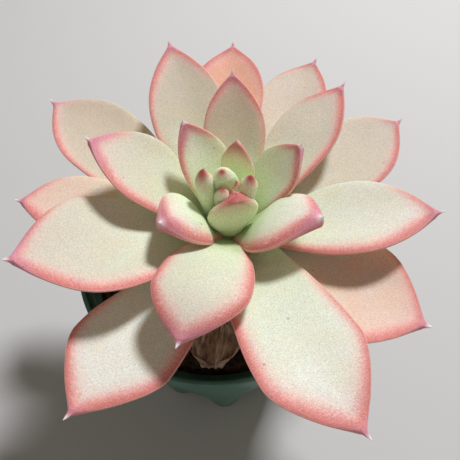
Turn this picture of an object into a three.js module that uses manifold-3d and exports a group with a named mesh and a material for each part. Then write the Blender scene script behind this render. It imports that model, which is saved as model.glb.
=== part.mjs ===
// A rosette succulent, echeveria lindsayana, in its round slit pot.
// Millimetres, +Z up. The origin is the middle of the pot's underside, and -Y is the front.
// The pot is a thin shell on eight rounded feet with a slit between each pair of them.
// Soil fills it to just under the rim, and a short stem stands in a plain hole in the soil.
// The leaves wind up the stem by the golden angle, youngest at the top.

import * as THREE from 'three';
import { mergeVertices } from 'three/addons/utils/BufferGeometryUtils.js';
import Module from 'manifold-3d';

const wasm = await Module();
wasm.setup();

// Driving dimensions

const TAU = 2 * Math.PI;
const GAP = 0.3; // air left between two pieces that touch

const POT = {
  height: 94,
  rimRadius: 52.5, // outside of the flange
  lipWidth: 1.5,
  flangeHeight: 6,
  flangeWall: 1.7,
  shoulderRadius: 48.4, // body just under the flange
  footRadius: 36.7, // out to the tip of a foot
  valleyDepth: 6.5, // how far the wall draws in between two feet
  valleyTop: 46, // height at which the wall is round again
  cornerRadius: 3,
  lipRound: 0.6, // rounding of the rim's two edges
  wall: 1.5,
  floor: 2,
  hollowCorner: 1.4, // how much the inside draws in at the floor
  feet: 8,
  firstFoot: -85, // degrees, where one foot points
  slitWidth: 3.2,
  slitTop: 37,
  slitInner: 11, // how near to the middle of the floor a slit runs
  slitSpare: 10, // how far the cutting box stands out of the pot
  outerLevels: [15, 30, 46], // heights of the rings outside, from the corner up
  innerLevels: [82, 46, 24, 5], // heights of the rings inside, top down
  segments: 64,
};

const SOIL = {
  top: 86, // mean level, 8 mm under the rim
  edge: 83, // level where it meets the wall
  ease: 0.2, // extra air to the wall of the pot
  lowCorner: 2, // how much its body draws in at the floor
  shares: [0.84, 0.62, 0.4], // where the rings of its surface lie
  mound: 1.6, // how much higher it stands round the stem
  relief: 0.7,
  chips: 18,
  chipSize: [5, 9],
  chipSector: [292, 236], // degrees, from and to, clear of the withered leaves
  chipReach: [14, 38],
};

const STEM = {
  x: 4.5, // the plant stands a little off the middle of the pot
  y: 4.5,
  top: 13, // height of the leafy stretch above the rim
  cone: 5, // how much further the growing point stands up
  coneReach: 6, // number of leaves that it spans
  tipRadius: 2.6,
  growth: 8.2,
  steps: 10,
  profileOrders: [1, 3, 5, 8, 13, 20, 28], // leaves at whose seats the profile has a ring
  skinDepth: 0.4, // how far the stem's skin lies inside the leaves' seats
  foot: 64, // the bottom of the stem, down in the soil
  footRound: 3,
  neckRadius: 8.5, // bare stem where it enters the soil
  segments: 16,
};

const SEAT_DEPTH = 0.8; // how far inside the stem's skin a leaf's midrib starts, before it is cut
const TURN = 137.5; // golden angle between one leaf and the next, degrees
const FIRST_TURN = 95.5; // where leaf 1 points, counted from +X

const LEAF_FORM = {
  neck: 0.34, // width at the base, as a share of the full width
  belly: 0.6, // where along its length it is widest
  tail: 0.035, // the point drawn out past the blade
  blunt: 1.9,
  pointWidth: 0.1,
  edgeThick: 0.6, // thickness at both ends, as a share of the thickness in the middle
  upperShare: 0.36, // how much of the thickness lies above the margins
  cup: 0.2, // how far the margins stand up, as a share of the half width
  hook: 18, // extra slope at the very tip, degrees
  rings: 12,
  sides: 12,
};

// Young leaves are stout, broad at the base and round at the end, and the one in front of the
// heart bulges like a bowl. Of the others some are broad low down, some are full to the point,
// and some taper in a long arch. The largest keeps its width down to the stem.
const YOUNG = { neck: 0.7, blunt: 2.8, edgeThick: 0.78, rings: 10, sides: 10 };
const BOWL = { ...YOUNG, neck: 0.5, belly: 0.5, cup: 0.06 };
const BROAD = { neck: 0.5, belly: 0.5, blunt: 2.2 };
const STOUT = { ...BROAD, edgeThick: 0.9 };
const FULL = { belly: 0.56, blunt: 2.1 };
const LONG = { belly: 0.65, blunt: 2.4 };
const ARCHED = { belly: 0.67, blunt: 1.5, cup: 0.14 };
const STRAP = { ...ARCHED, neck: 0.6 };

// Leaves, youngest first. order: place on the spiral. lean: degrees off the golden angle.
// rise: slope at the base and at the tip, degrees. sweep: how far the point bends sideways,
// and bow: how far the middle does, both as a share of the length.
const LEAVES = [
  { order: 1, lean: 12, length: 22, width: 9, rise: [80, 104], sweep: 0.06, thick: 4.4, form: YOUNG },
  { order: 3, lean: -3, length: 21.5, width: 9, rise: [73, 84], thick: 5.2, form: YOUNG },
  { order: 4, lean: 27, length: 26, width: 9, rise: [74, 90], thick: 5.6, form: YOUNG },
  { order: 5, lean: -1, length: 17, width: 18, rise: [80, 114], sweep: 0.13, thick: 4.4, form: BOWL },
  { order: 6, lean: 6, length: 29, width: 12.5, rise: [66, 76], sweep: 0.08, bow: -0.02 },
  { order: 7, lean: 10, length: 30, width: 25, rise: [41, 48], sweep: 0.09, bow: -0.04, form: STOUT },
  { order: 8, lean: -8, length: 36, width: 27, rise: [35, 43], sweep: 0.09, bow: -0.01, form: STOUT },
  { order: 9, lean: 6, length: 38, width: 19, rise: [55, 61], sweep: 0.06, bow: -0.04, form: BROAD },
  { order: 10, lean: 4, length: 52.5, width: 31, rise: [42, -10], sweep: -0.04, bow: 0.02, form: ARCHED },
  { order: 11, lean: -5, length: 38, width: 20.5, rise: [51, 60], bow: 0.03 },
  { order: 12, lean: -1, length: 54, width: 29, rise: [38, 34], sweep: -0.06, bow: -0.05, form: FULL },
  { order: 13, lean: -4, length: 80, width: 35, rise: [19, 2], sweep: -0.11, bow: -0.06, form: STRAP },
  { order: 14, lean: 3, length: 54.5, width: 23.5, rise: [38, 42], sweep: 0.03, bow: -0.02, form: FULL },
  { order: 15, lean: -16, length: 70.5, width: 40, rise: [24, 13], sweep: -0.05, bow: -0.01 },
  { order: 16, lean: -4, length: 69, width: 31, rise: [24, 12], bow: -0.01, form: FULL },
  { order: 17, lean: -24, length: 74.5, width: 30.5, rise: [29, 28], sweep: -0.04, form: FULL },
  { order: 19, lean: -4, length: 69.5, width: 25.5, rise: [24, 24], sweep: 0.04, bow: 0.01 },
  { order: 20, lean: -7, length: 70, width: 27, rise: [19, 12], sweep: -0.04, bow: -0.03, form: LONG },
  { order: 21, lean: 1, length: 70, width: 42, rise: [13, 4], bow: -0.02 },
  { order: 22, lean: -12, length: 82, width: 31.5, rise: [19, 20], sweep: -0.05, bow: 0.02, form: LONG },
  { order: 23, lean: 1, length: 76, width: 36, rise: [12, 3], sweep: -0.1, bow: -0.03, form: ARCHED },
  { order: 24, lean: 8, length: 78, width: 33.5, rise: [15, 16], sweep: 0.11, bow: 0.01, form: LONG },
  { order: 25, lean: -5, length: 85, width: 35, rise: [16, 18], sweep: -0.11, bow: -0.04, form: LONG },
  { order: 27, lean: -10, length: 86, width: 29.5, rise: [17, 18], sweep: 0.06, bow: 0.04, form: LONG },
];

// The youngest leaves of all, still fused round the growing point.
const HEART = {
  dome: [2.6, 1.8, 3], // radius at the stem and at the top, height
  domeSides: 12,
  radius: 1.7, // how far from the stem's axis its leaves grow
  lift: 0.5, // how far above the stem they grow
  form: { neck: 0.66, blunt: 2.6, edgeThick: 0.8, hook: 0, rings: 6, sides: 7 },
  leaves: [
    { order: 2, lean: 2, length: 15.5, width: 6.4, thick: 3.8, rise: [74, 98] },
    { order: 0, lean: -12, length: 14.5, width: 3.8, thick: 2.6, rise: [80, 96] },
    { order: -1, lean: 0, length: 13, width: 3.4, thick: 2.2, rise: [82, 94] },
    { order: -2, lean: -6, length: 14.5, width: 5, thick: 3, rise: [70, 94] },
    { order: -3, lean: 0, length: 12, width: 2.8, thick: 2, rise: [86, 94] },
    { order: -4, lean: 0, length: 11.5, width: 2.6, thick: 1.8, rise: [86, 94] },
  ],
};

// Withered lower leaves, papery and ridged, lying on the soil.
const DRY_FORM = {
  rows: 7,
  stalk: 0.3, // width where it is gathered, as a share of the full width
  belly: 0.75, // where it is widest
  endTaper: 0.35, // how much it narrows again
  curl: 1.8, // how far its sides curl up
  bow: 3.5, // how far its outer edge is bowed
};
const DRY_LEAVES = [
  { turn: 264, start: 12, length: 39, width: 20, thick: 0.9, ridges: 5, ridge: 0.6, lift: 1.6, tip: 4.5 },
  { turn: 273, start: 13, length: 26, width: 8, thick: 0.9, ridges: 3, ridge: 0.5, lift: 4, tip: 3.4 },
];

const PAINT = {
  pot: { color: 0x1d3a38, roughness: 0.42 },
  soil: { color: 0x2a1f1a, roughness: 0.95 },
  stem: { color: 0x8f8a5c, roughness: 0.8 },
  leaf: { color: 0xd8c9a8, roughness: 0.55 },
  heart: { color: 0xa9c07a, roughness: 0.55 },
  dry: { color: 0x8a7365, roughness: 0.9 },
};

// Small helpers

const radians = (degrees) => (degrees * Math.PI) / 180;
const clamp01 = (value) => Math.min(1, Math.max(0, value));

function smooth(from, to, value) {
  const t = clamp01((value - from) / (to - from));
  return t * t * (3 - 2 * t);
}

// A repeatable stream of numbers between 0 and 1.
function seeded(seed) {
  let state = seed;
  return () => {
    state = (state * 1664525 + 1013904223) % 4294967296;
    return state / 4294967296;
  };
}

// A closed skin over a stack of rings, each with the same number of points.
// The two end rings are closed by a fan round their middle point.
function skin(rings) {
  const sides = rings[0].length;
  const points = rings.flat();
  const index = [];
  for (let ring = 0; ring + 1 < rings.length; ring += 1) {
    for (let side = 0; side < sides; side += 1) {
      const a = ring * sides + side;
      const b = ring * sides + ((side + 1) % sides);
      index.push(a, b, b + sides, a, b + sides, a + sides);
    }
  }
  const closeEnd = (ring, forward) => {
    const middle = new THREE.Vector3();
    rings[ring].forEach((point) => middle.addScaledVector(point, 1 / sides));
    const centre = points.push(middle) - 1;
    for (let side = 0; side < sides; side += 1) {
      const a = ring * sides + side;
      const b = ring * sides + ((side + 1) % sides);
      index.push(centre, forward ? a : b, forward ? b : a);
    }
  };
  closeEnd(0, false);
  closeEnd(rings.length - 1, true);
  return solidFrom(points, index);
}

// Turns points and triangles into a solid, with the triangles turned outwards.
function solidFrom(points, index) {
  let volume = 0;
  for (let i = 0; i < index.length; i += 3) {
    const [a, b, c] = [points[index[i]], points[index[i + 1]], points[index[i + 2]]];
    volume += a.dot(new THREE.Vector3().crossVectors(b, c));
  }
  const faces = volume < 0 ? [...index].reverse() : index;
  const geometry = new THREE.BufferGeometry().setFromPoints(points);
  geometry.setIndex(faces);
  return toSolid(geometry);
}

function toSolid(geometry) {
  const bare = geometry.clone();
  bare.deleteAttribute('normal');
  bare.deleteAttribute('uv');
  const merged = mergeVertices(bare, 1e-5);
  return new wasm.Manifold(new wasm.Mesh({
    numProp: 3,
    vertProperties: new Float32Array(merged.attributes.position.array),
    triVerts: new Uint32Array(merged.index.array),
  }));
}

function toGeometry(solid) {
  const mesh = solid.getMesh();
  const geometry = new THREE.BufferGeometry();
  const places = new Float32Array(mesh.numVert * 3);
  for (let vertex = 0; vertex < mesh.numVert; vertex += 1) {
    for (let axis = 0; axis < 3; axis += 1) {
      places[vertex * 3 + axis] = mesh.vertProperties[vertex * mesh.numProp + axis];
    }
  }
  geometry.setAttribute('position', new THREE.BufferAttribute(places, 3));
  geometry.setIndex([...mesh.triVerts]);
  geometry.computeVertexNormals();
  return geometry;
}

// The largest body of a solid that a cut may have split.
function largest(solid) {
  return solid.decompose().reduce((best, body) => (body.volume() > best.volume() ? body : best));
}

function place(group, name, solid, paint) {
  const material = new THREE.MeshStandardMaterial({ ...paint, metalness: 0 });
  const mesh = new THREE.Mesh(toGeometry(solid), material);
  mesh.name = name;
  group.add(mesh);
  return mesh;
}

// Pot

// How far the wall draws in at an angle and a height: deepest between two feet, none at a foot.
function valley(angle, height) {
  const wave = Math.abs(Math.sin((POT.feet / 2) * (angle - radians(POT.firstFoot))));
  return POT.valleyDepth * wave ** 2.4 * (1 - smooth(0, POT.valleyTop, height));
}

// Radius of the outside of the body, a plain taper from the foot to the shoulder.
function bodyRadius(height) {
  const share = height / (POT.height - POT.flangeHeight);
  return POT.footRadius + (POT.shoulderRadius - POT.footRadius) * share;
}

function potRing(radius, height, inset) {
  return Array.from({ length: POT.segments }, (_, i) => {
    const angle = radians(POT.firstFoot) + (i / POT.segments) * TAU;
    const reach = radius - inset - valley(angle, height);
    return new THREE.Vector3(reach * Math.cos(angle), reach * Math.sin(angle), height);
  });
}

function roundRing(radius, height, segments = POT.segments) {
  return Array.from({ length: segments }, (_, i) => {
    const angle = radians(POT.firstFoot) + (i / segments) * TAU;
    return new THREE.Vector3(radius * Math.cos(angle), radius * Math.sin(angle), height);
  });
}

function potShell() {
  const { height, rimRadius, lipWidth, lipRound, cornerRadius, wall, floor } = POT;
  const under = height - POT.flangeHeight;
  const inside = rimRadius - POT.flangeWall;
  const rings = [
    potRing(bodyRadius(0), 0, cornerRadius),
    potRing(bodyRadius(0), cornerRadius * 0.3, cornerRadius * 0.3),
    ...[cornerRadius, ...POT.outerLevels, under].map((z) => potRing(bodyRadius(z), z, 0)),
    roundRing(rimRadius, under),
    roundRing(rimRadius, height - lipRound),
    roundRing(rimRadius - lipRound, height),
    roundRing(rimRadius - lipWidth + lipRound / 2, height),
    roundRing(inside, height - lipRound),
    roundRing(inside, under + 1),
    ...POT.innerLevels.map((z) => potRing(bodyRadius(z), z, wall)),
    potRing(bodyRadius(floor), floor, wall + POT.hollowCorner),
  ];
  return skin(rings);
}

// One slit: it runs out over the floor from near the middle and up the wall in a valley.
function slit(angle) {
  const { slitInner, slitSpare, slitTop, slitWidth } = POT;
  const reach = POT.footRadius + slitSpare;
  const box = new THREE.BoxGeometry(reach - slitInner, slitWidth, slitTop + slitSpare);
  box.translate((reach + slitInner) / 2, 0, (slitTop - slitSpare) / 2);
  box.rotateZ(angle);
  return toSolid(box);
}

function pot() {
  let shell = potShell();
  for (let foot = 0; foot < POT.feet; foot += 1) {
    shell = shell.subtract(slit(radians(POT.firstFoot) + ((foot + 0.5) / POT.feet) * TAU));
  }
  return shell;
}

// Stem

// Radius of the stem where the leaf of a given order grows.
function stemRadius(order) {
  return STEM.tipRadius + STEM.growth * (1 - Math.exp(-order / STEM.steps));
}

// Height at which the leaf of a given order grows.
function stemHeight(order) {
  const cone = STEM.cone * Math.exp(-((order / STEM.coneReach) ** 2));
  return POT.height + STEM.top + cone - 0.25 * order - 0.012 * order * order;
}

function stemSolid(grow) {
  const profile = [[STEM.tipRadius * 0.6 + grow, stemHeight(0) + grow]];
  STEM.profileOrders.forEach((order) => {
    profile.push([stemRadius(order) - STEM.skinDepth + grow, stemHeight(order)]);
  });
  profile.push([STEM.neckRadius + grow, SOIL.top + STEM.footRound]);
  profile.push([STEM.neckRadius + grow, STEM.foot + STEM.footRound]);
  profile.push([STEM.neckRadius - STEM.footRound + grow, STEM.foot - grow]);
  const rings = profile.map(([radius, height]) => roundRing(radius, height, STEM.segments));
  rings.flat().forEach((point) => point.add(new THREE.Vector3(STEM.x, STEM.y, 0)));
  return skin(rings);
}

// Leaves

// Share of the half width at a place along the leaf: it widens from the neck to the belly,
// draws in as a pointed arch, and runs out in a fine point.
function halfWidth(share, form) {
  const { neck, belly, tail, blunt, pointWidth } = form;
  const rising = neck + (1 - neck) * Math.sin((Math.PI / 2) * clamp01(share / belly)) ** 1.5;
  const falling = 1 - clamp01((share - belly) / (1 - tail - belly)) ** blunt;
  const body = share < belly ? rising : falling;
  const point = pointWidth * Math.min(1.5, (1 - share) / (2.2 * tail));
  return (body ** 2.5 + point ** 2.5) ** 0.4;
}

// A leaf as a stack of rings. Its midrib is an arc in the upright plane of its turn, from the
// stem outwards, and each ring is a flattened oval across it with its margins cupped upwards.
// grow widens every ring, for the clearance that an older leaf keeps to it.
function blade(leaf, grow = 0) {
  const form = { ...LEAF_FORM, ...leaf.form };
  const turn = radians(leaf.turn);
  const outward = new THREE.Vector3(Math.cos(turn), Math.sin(turn), 0);
  const sideways = new THREE.Vector3(-Math.sin(turn), Math.cos(turn), 0);
  const upward = new THREE.Vector3(0, 0, 1);
  const slopeAt = (share) => radians(
    leaf.rise[0] + (leaf.rise[1] - leaf.rise[0]) * share + form.hook * smooth(0.86, 1, share),
  );
  const centre = new THREE.Vector3(STEM.x, STEM.y, leaf.height)
    .addScaledVector(outward, leaf.radius);
  const rings = [];
  const fine = 20; // steps of the midrib between two rings
  const end = 0.996; // the last ring stops just short of the point
  let share = 0;
  for (let ring = 0; ring < form.rings; ring += 1) {
    const target = ring / (form.rings - 1);
    const next = (1 - (1 - target) ** 1.25) * end;
    for (let step = 0; step < fine && ring > 0; step += 1) {
      const slope = slopeAt(share + ((next - share) * (step + 0.5)) / fine);
      const length = (leaf.length * (next - share)) / fine;
      centre.addScaledVector(outward, Math.cos(slope) * length);
      centre.addScaledVector(upward, Math.sin(slope) * length);
    }
    share = next;
    const slope = slopeAt(share);
    const normal = outward.clone().multiplyScalar(-Math.sin(slope))
      .addScaledVector(upward, Math.cos(slope));
    const wide = (leaf.width / 2) * halfWidth(share, form) + grow;
    const swell = Math.sin(Math.PI * clamp01(share / 0.9) ** 0.8);
    const full = leaf.thick * (form.edgeThick + (1 - form.edgeThick) * swell);
    const thick = Math.min(full, 1.9 * wide) + 2 * grow;
    const cup = form.cup * smooth(0, 0.5, share) * wide;
    const bent = (leaf.sweep ?? 0) * share * share + (leaf.bow ?? 0) * Math.sin(Math.PI * share);
    const side = bent * leaf.length;
    rings.push(Array.from({ length: form.sides }, (_, i) => {
      const angle = (i / form.sides) * TAU;
      const [across, lift] = [Math.cos(angle), Math.sin(angle)];
      const part = lift > 0 ? form.upperShare : 1 - form.upperShare;
      return centre.clone()
        .addScaledVector(sideways, side + wide * across)
        .addScaledVector(normal, thick * part * lift + cup * across * across);
    }));
  }
  return skin(rings);
}

// Where a leaf points, in degrees from +X: the golden angle between neighbours, and its lean.
const leafTurn = (leaf) => FIRST_TURN + TURN * (leaf.order - 1) + leaf.lean;

// A leaf of the table with its turn, its seat on the stem and its thickness worked out.
function grownLeaf(entry) {
  return {
    thick: 2.6 + 2.6 * Math.min(1, entry.length / 60),
    ...entry,
    turn: leafTurn(entry),
    radius: stemRadius(entry.order) - SEAT_DEPTH,
    height: stemHeight(entry.order),
  };
}

// The youngest leaves, fused round the growing point, which sits on the stem.
function heart(grow = 0) {
  const base = stemHeight(0) + GAP;
  const [low, high, tall] = HEART.dome;
  const dome = new THREE.CylinderGeometry(high + grow, low + grow, tall + grow, HEART.domeSides);
  dome.rotateX(Math.PI / 2);
  dome.translate(STEM.x, STEM.y, base + (tall + grow) / 2);
  let body = toSolid(dome);
  HEART.leaves.forEach((leaf) => {
    body = body.add(blade({
      ...leaf,
      turn: leafTurn(leaf),
      radius: HEART.radius,
      height: base + HEART.lift,
      form: HEART.form,
    }, grow));
  });
  return body.trimByPlane([0, 0, 1], base);
}

// Soil

function soilLevel(x, y) {
  const fromStem = Math.hypot(x - STEM.x, y - STEM.y);
  const waves = Math.sin(x * 0.61 + 1.3) * Math.cos(y * 0.53) + 0.6 * Math.sin(x * 0.27 - y * 0.41);
  return SOIL.top + SOIL.mound * Math.exp(-((fromStem / 22) ** 2)) + SOIL.relief * waves;
}

// A piece of bark, half sunk in the soil. Its broad face tilts a little any way.
function chip(random) {
  const [small, large] = SOIL.chipSize;
  const [from, to] = SOIL.chipSector;
  const [near, far] = SOIL.chipReach;
  const size = small + (large - small) * random();
  const angle = radians(from + ((to + 360 - from) % 360) * random());
  const reach = near + (far - near) * Math.sqrt(random());
  const shape = new THREE.BoxGeometry(size, size * (0.45 + 0.3 * random()), size * 0.4);
  shape.rotateX(0.8 * (random() - 0.5));
  shape.rotateY(0.8 * (random() - 0.5));
  shape.rotateZ(TAU * random());
  const [x, y] = [STEM.x / 2 + reach * Math.cos(angle), STEM.y / 2 + reach * Math.sin(angle)];
  shape.translate(x, y, soilLevel(x, y));
  return toSolid(shape);
}

function soil() {
  const inset = POT.wall + GAP;
  const low = POT.floor + GAP;
  const levels = [...POT.innerLevels].reverse().concat(SOIL.edge);
  const rings = [
    potRing(bodyRadius(low), low, inset + SOIL.lowCorner),
    ...levels.map((level) => potRing(bodyRadius(level), level, inset + SOIL.ease)),
  ];
  SOIL.shares.forEach((share) => {
    const ring = roundRing(bodyRadius(SOIL.edge) * share, SOIL.edge);
    ring.forEach((point) => { point.z = soilLevel(point.x, point.y); });
    rings.push(ring);
  });
  let body = skin(rings.reverse());
  const random = seeded(11);
  for (let i = 0; i < SOIL.chips; i += 1) body = body.add(chip(random));
  return largest(body.subtract(stemSolid(GAP)));
}

// Withered leaves

// A thin fan that lies on the soil, wider at its outer end and gathered at the stem,
// with ridges along it that both of its faces follow.
function dryLeaf(leaf) {
  const turn = radians(leaf.turn);
  const outward = new THREE.Vector3(Math.cos(turn), Math.sin(turn), 0);
  const sideways = new THREE.Vector3(-Math.sin(turn), Math.cos(turn), 0);
  const { rows, stalk, belly, endTaper, curl, bow } = DRY_FORM;
  const columns = leaf.ridges * 2 + 2;
  const faces = [1, -1].map((face) => Array.from({ length: rows }, (_, row) => {
    const share = row / (rows - 1);
    const reach = leaf.start + leaf.length * share;
    const opening = stalk + (1 - stalk) * Math.sin((Math.PI / 2) * clamp01(share / belly));
    const closing = 1 - endTaper * clamp01((share - belly) / (1 - belly)) ** 2;
    const wide = (leaf.width / 2) * opening * closing;
    return Array.from({ length: columns }, (_, column) => {
      const across = (2 * column) / (columns - 1) - 1;
      const bend = across * across * share;
      const ridge = leaf.ridge * (column % 2 ? 1 : -1) * smooth(0, 0.3, share);
      const point = new THREE.Vector3(STEM.x, STEM.y, 0)
        .addScaledVector(outward, reach - bow * bend)
        .addScaledVector(sideways, wide * across);
      point.z = SOIL.top + leaf.lift + ridge + leaf.tip * share ** 2 + curl * bend
        + (face * leaf.thick) / 2;
      return point;
    });
  }));
  const rings = faces[0].map((upper, row) => [...upper, ...[...faces[1][row]].reverse()]);
  return skin(rings);
}

// Assembly

const plant = new THREE.Group();

const soilBody = soil();
place(plant, 'pot', pot(), PAINT.pot);
place(plant, 'soil', soilBody, PAINT.soil);
place(plant, 'stem', stemSolid(0), PAINT.stem);
place(plant, 'heart', heart(), PAINT.heart);

// Each leaf is cut clear of the stem, of the heart and of the younger leaves it presses on.
const clearances = [stemSolid(GAP), heart(GAP)];
function cutClear(body) {
  return largest(clearances.reduce((rest, clearance) => rest.subtract(clearance), body));
}
LEAVES.map(grownLeaf).forEach((leaf, i) => {
  const name = `leaf_${String(i + 1).padStart(2, '0')}`;
  place(plant, name, cutClear(blade(leaf)), PAINT.leaf);
  clearances.push(blade(leaf, GAP));
});

clearances.push(soilBody.translate([0, 0, GAP]));
DRY_LEAVES.forEach((leaf, i) => {
  place(plant, `dry_leaf_${i + 1}`, cutClear(dryLeaf(leaf)), PAINT.dry);
  clearances.push(dryLeaf({ ...leaf, thick: leaf.thick + 2 * GAP }));
});

export default plant;
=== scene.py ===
"""A potted echeveria lindsayana: the finish of every surface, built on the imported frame.

Sizes are in millimetres until a mesh is made, and a mesh is in metres. The leaves, the heart, the
stem, the soil, the withered leaves and the pot are made again as fine surfaces by the same rules as
the solids that they replace.
"""

import itertools
import logging
import math
from dataclasses import dataclass, field, replace
from enum import Enum
from typing import Union

import bpy
import numpy as np
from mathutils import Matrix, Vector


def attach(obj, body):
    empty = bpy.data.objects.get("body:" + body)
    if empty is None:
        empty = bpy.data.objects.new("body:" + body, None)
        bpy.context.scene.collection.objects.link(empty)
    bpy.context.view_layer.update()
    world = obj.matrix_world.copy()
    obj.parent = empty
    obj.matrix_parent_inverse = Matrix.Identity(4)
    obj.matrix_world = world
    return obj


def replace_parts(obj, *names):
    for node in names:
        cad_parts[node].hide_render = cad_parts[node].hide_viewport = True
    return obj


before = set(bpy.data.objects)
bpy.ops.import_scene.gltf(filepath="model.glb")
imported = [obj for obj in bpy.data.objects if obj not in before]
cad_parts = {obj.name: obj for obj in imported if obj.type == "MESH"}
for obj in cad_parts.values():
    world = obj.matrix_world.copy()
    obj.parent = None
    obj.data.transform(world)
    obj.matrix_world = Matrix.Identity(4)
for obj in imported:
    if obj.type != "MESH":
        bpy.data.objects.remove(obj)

log = logging.getLogger("echeveria")

MM = 0.001
TAU = 2 * math.pi
ROOT = "root"
FIRST_TURN = 95.5
GOLDEN_TURN = 137.5

Array = np.ndarray
Colour = tuple[float, float, float, float]
Number = Union["Wire", float]


# Small helpers


def smooth(low: float, high: float, value: Array) -> Array:
    """Eases from 0 at low to 1 at high: t squared times (3 - 2t), with t the clamped share."""
    t = np.clip((np.asarray(value, float) - low) / (high - low), 0.0, 1.0)
    return t * t * (3 - 2 * t)


def paint(code: str) -> Colour:
    """Turns a six-digit screen colour into the linear colour that a shader takes.

    Args:
        code: red, green and blue as two hexadecimal digits each.

    Returns:
        Linear red, green, blue and an alpha of 1.
    """
    screen = [int(code[i:i + 2], 16) / 255 for i in (0, 2, 4)]
    linear = [((c + 0.055) / 1.055) ** 2.4 if c > 0.04045 else c / 12.92 for c in screen]
    return (linear[0], linear[1], linear[2], 1.0)


def turned(angle: float) -> tuple[Array, Array]:
    """Unit vectors outwards at an angle in radians from +X, and to the left of that."""
    outward = np.array([math.cos(angle), math.sin(angle), 0.0])
    sideways = np.array([-math.sin(angle), math.cos(angle), 0.0])
    return outward, sideways


def stacked(*parts: Array | float) -> Array:
    """One array of vectors from the arrays or numbers that are their parts."""
    return np.stack(np.broadcast_arrays(*parts), axis=-1)


class Grain:
    """Smooth random relief: drawn values on a cubic lattice that repeats, eased between its points."""

    def __init__(self, seed: int, size: int = 32) -> None:
        """Draws the lattice.

        Args:
            seed: where the random stream starts.
            size: lattice points along each axis before it repeats.
        """
        self.size = size
        self.table = np.random.default_rng(seed).uniform(-1, 1, (size, size, size))

    def at(self, points: Array) -> Array:
        """Reads the relief.

        Args:
            points: places in lattice units, with x, y and z in the last axis.

        Returns:
            Values from -1 to 1, one for each place.
        """
        cell = np.floor(points).astype(int)
        share = points - cell
        share = share * share * (3 - 2 * share)
        total = np.zeros(points.shape[:-1])
        for corner in itertools.product((0, 1), repeat=3):
            weight = np.prod(np.where(corner, share, 1 - share), axis=-1)
            index = (cell + corner) % self.size
            total += weight * self.table[index[..., 0], index[..., 1], index[..., 2]]
        return total

    def layered(self, points: Array, layers: int) -> Array:
        """The relief with finer layers on it, each twice as fine and half as high as the last."""
        return sum(self.at(points * 2.0**n + 7.3 * n) / 2.0**n for n in range(layers))


# Meshes


@dataclass
class Skin:
    """A closed surface in millimetres, with values on its points for the shader to read."""

    points: Array
    faces: list[list[int]]
    values: dict[str, Array] = field(default_factory=dict)

    @staticmethod
    def over_rings(grid: Array, values: dict[str, Array] | None = None) -> "Skin":
        """Closes a stack of rings: a quad between each four neighbours and a fan on each end.

        Args:
            grid: rings by sides by 3 points.
            values: for each name, rings by sides by 3 values.

        Returns:
            The skin, whose fans meet in the middle of the first and the last ring.
        """
        rings, sides = grid.shape[:2]
        ring, side = np.meshgrid(np.arange(rings - 1), np.arange(sides), indexing="ij")
        after = (side + 1) % sides
        corners = [ring * sides + side, ring * sides + after]
        corners += [(ring + 1) * sides + after, (ring + 1) * sides + side]
        quads = np.stack(corners, axis=-1).reshape(-1, 4)
        around = np.arange(sides)
        around_next = (around + 1) % sides
        first, last = rings * sides, rings * sides + 1
        top = (rings - 1) * sides
        start = np.stack([np.full(sides, first), around_next, around], axis=-1)
        end = np.stack([np.full(sides, last), top + around, top + around_next], axis=-1)
        ends = [grid[0].mean(axis=0), grid[-1].mean(axis=0)]
        points = np.vstack([grid.reshape(-1, 3), ends])
        spread = {}
        for name, value in (values or {}).items():
            wide = value.reshape(rings * sides, -1)
            means = [value[0].reshape(sides, -1).mean(0), value[-1].reshape(sides, -1).mean(0)]
            spread[name] = np.vstack([wide, means])
        skin = Skin(points, quads.tolist() + start.tolist() + end.tolist(), spread)
        return skin.outwards()

    def volume(self) -> float:
        """Signed volume: the sum over triangles of a . (b x c) / 6, above 0 if faces point out."""
        triangles = [(f[0], f[i], f[i + 1]) for f in self.faces for i in range(1, len(f) - 1)]
        a, b, c = (self.points[np.array(triangles)[:, i]] for i in range(3))
        return float(np.einsum("ij,ij->i", a, np.cross(b, c)).sum() / 6)

    def outwards(self) -> "Skin":
        """The same skin with its faces turned to point out."""
        if self.volume() < 0:
            self.faces = [face[::-1] for face in self.faces]
        return self

    @staticmethod
    def joined(skins: list["Skin"]) -> "Skin":
        """Puts several skins in one, side by side, with the values that they all have."""
        faces: list[list[int]] = []
        offset = 0
        for skin in skins:
            faces += [[index + offset for index in face] for face in skin.faces]
            offset += len(skin.points)
        points = np.vstack([skin.points for skin in skins])
        names = set.intersection(*(set(skin.values) for skin in skins))
        values = {name: np.vstack([skin.values[name] for skin in skins]) for name in sorted(names)}
        return Skin(points, faces, values)

    def mesh(self, name: str) -> bpy.types.Mesh:
        """Makes the Blender mesh, in metres, smooth shaded.

        Args:
            name: the mesh's name.

        Returns:
            The mesh, with one attribute for each of the values.
        """
        mesh = bpy.data.meshes.new(name)
        mesh.from_pydata((self.points * MM).tolist(), [], self.faces)
        for label, value in self.values.items():
            attribute = mesh.attributes.new(label, "FLOAT_VECTOR", "POINT")
            attribute.data.foreach_set("vector", value.astype(np.float32).ravel())
        mesh.shade_smooth()
        mesh.update()
        return mesh


def placed(name: str, data: bpy.types.ID) -> bpy.types.Object:
    """Makes an object of a mesh, a camera or a lamp and puts it in the scene."""
    thing = bpy.data.objects.new(name, data)
    bpy.context.scene.collection.objects.link(thing)
    return thing


def piece(name: str, mesh: bpy.types.Mesh, material: bpy.types.Material) -> bpy.types.Object:
    """Puts a mesh in the scene as a piece of the plant that rides on its one body.

    Args:
        name: the piece's name.
        mesh: its mesh, already in place.
        material: its finish.

    Returns:
        The new object.
    """
    thing = placed(name, mesh)
    mesh.materials.append(material)
    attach(thing, ROOT)
    log.info("%s: %d faces", name, len(mesh.polygons))
    return thing


# Shader maths


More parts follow.
